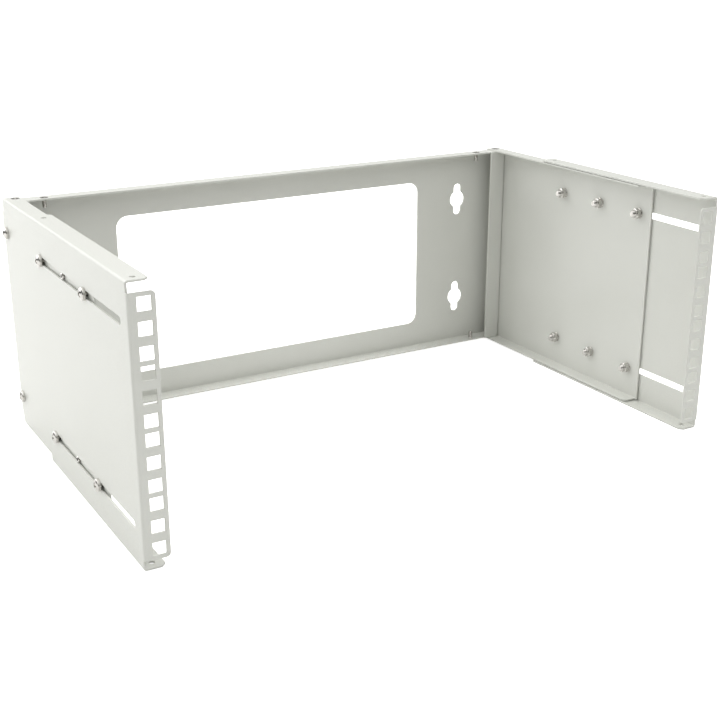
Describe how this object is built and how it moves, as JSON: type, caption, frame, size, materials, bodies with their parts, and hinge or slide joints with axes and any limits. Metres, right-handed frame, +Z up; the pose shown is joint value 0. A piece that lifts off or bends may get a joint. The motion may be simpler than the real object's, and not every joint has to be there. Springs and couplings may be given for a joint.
{
  "type": "wall mount open frame rack",
  "caption": "Open frame wall rack: a folded steel back frame with a window and keyholes, and sliding side plates with square-hole rack rails that set the depth.",
  "frame": {"origin": "middle of the face that lies against the wall, in the wall plane, at mid height and mid width", "axes": "+X to the right seen from the front, +Y into the wall, +Z up"},
  "size_m": [0.4944, 0.292, 0.1956],
  "materials": {
    "painted_sheet": "satin light grey powder coat",
    "zinc_hardware": "bright zinc plate"
  },
  "bodies": {
    "frame": {"back_frame": "painted_sheet", "left_bracket": "painted_sheet", "right_bracket": "painted_sheet", "left_clamp_screws": "zinc_hardware", "left_clamp_washers": "zinc_hardware", "left_clamp_nuts": "zinc_hardware", "left_guide_screws": "zinc_hardware", "left_guide_washers": "zinc_hardware", "left_guide_nuts": "zinc_hardware", "left_rear_screws": "zinc_hardware", "left_rear_washers": "zinc_hardware", "left_rear_nuts": "zinc_hardware", "left_corner_screws": "zinc_hardware", "left_flange_screws": "zinc_hardware", "right_clamp_screws": "zinc_hardware", "right_clamp_washers": "zinc_hardware", "right_clamp_nuts": "zinc_hardware", "right_guide_screws": "zinc_hardware", "right_guide_washers": "zinc_hardware", "right_guide_nuts": "zinc_hardware", "right_rear_screws": "zinc_hardware", "right_rear_washers": "zinc_hardware", "right_rear_nuts": "zinc_hardware", "right_corner_screws": "zinc_hardware", "right_flange_screws": "zinc_hardware"},
    "left_slide": {"left_slide_plate": "painted_sheet"},
    "right_slide": {"right_slide_plate": "painted_sheet"}
  },
  "joints": [
    {"name": "left_depth", "type": "slide", "parent": "frame", "child": "left_slide", "axis": [0, 1, 0], "range_m": [0, 0.068]},
    {"name": "right_depth", "type": "slide", "parent": "frame", "child": "right_slide", "axis": [0, 1, 0], "range_m": [0, 0.068]}
  ]
}
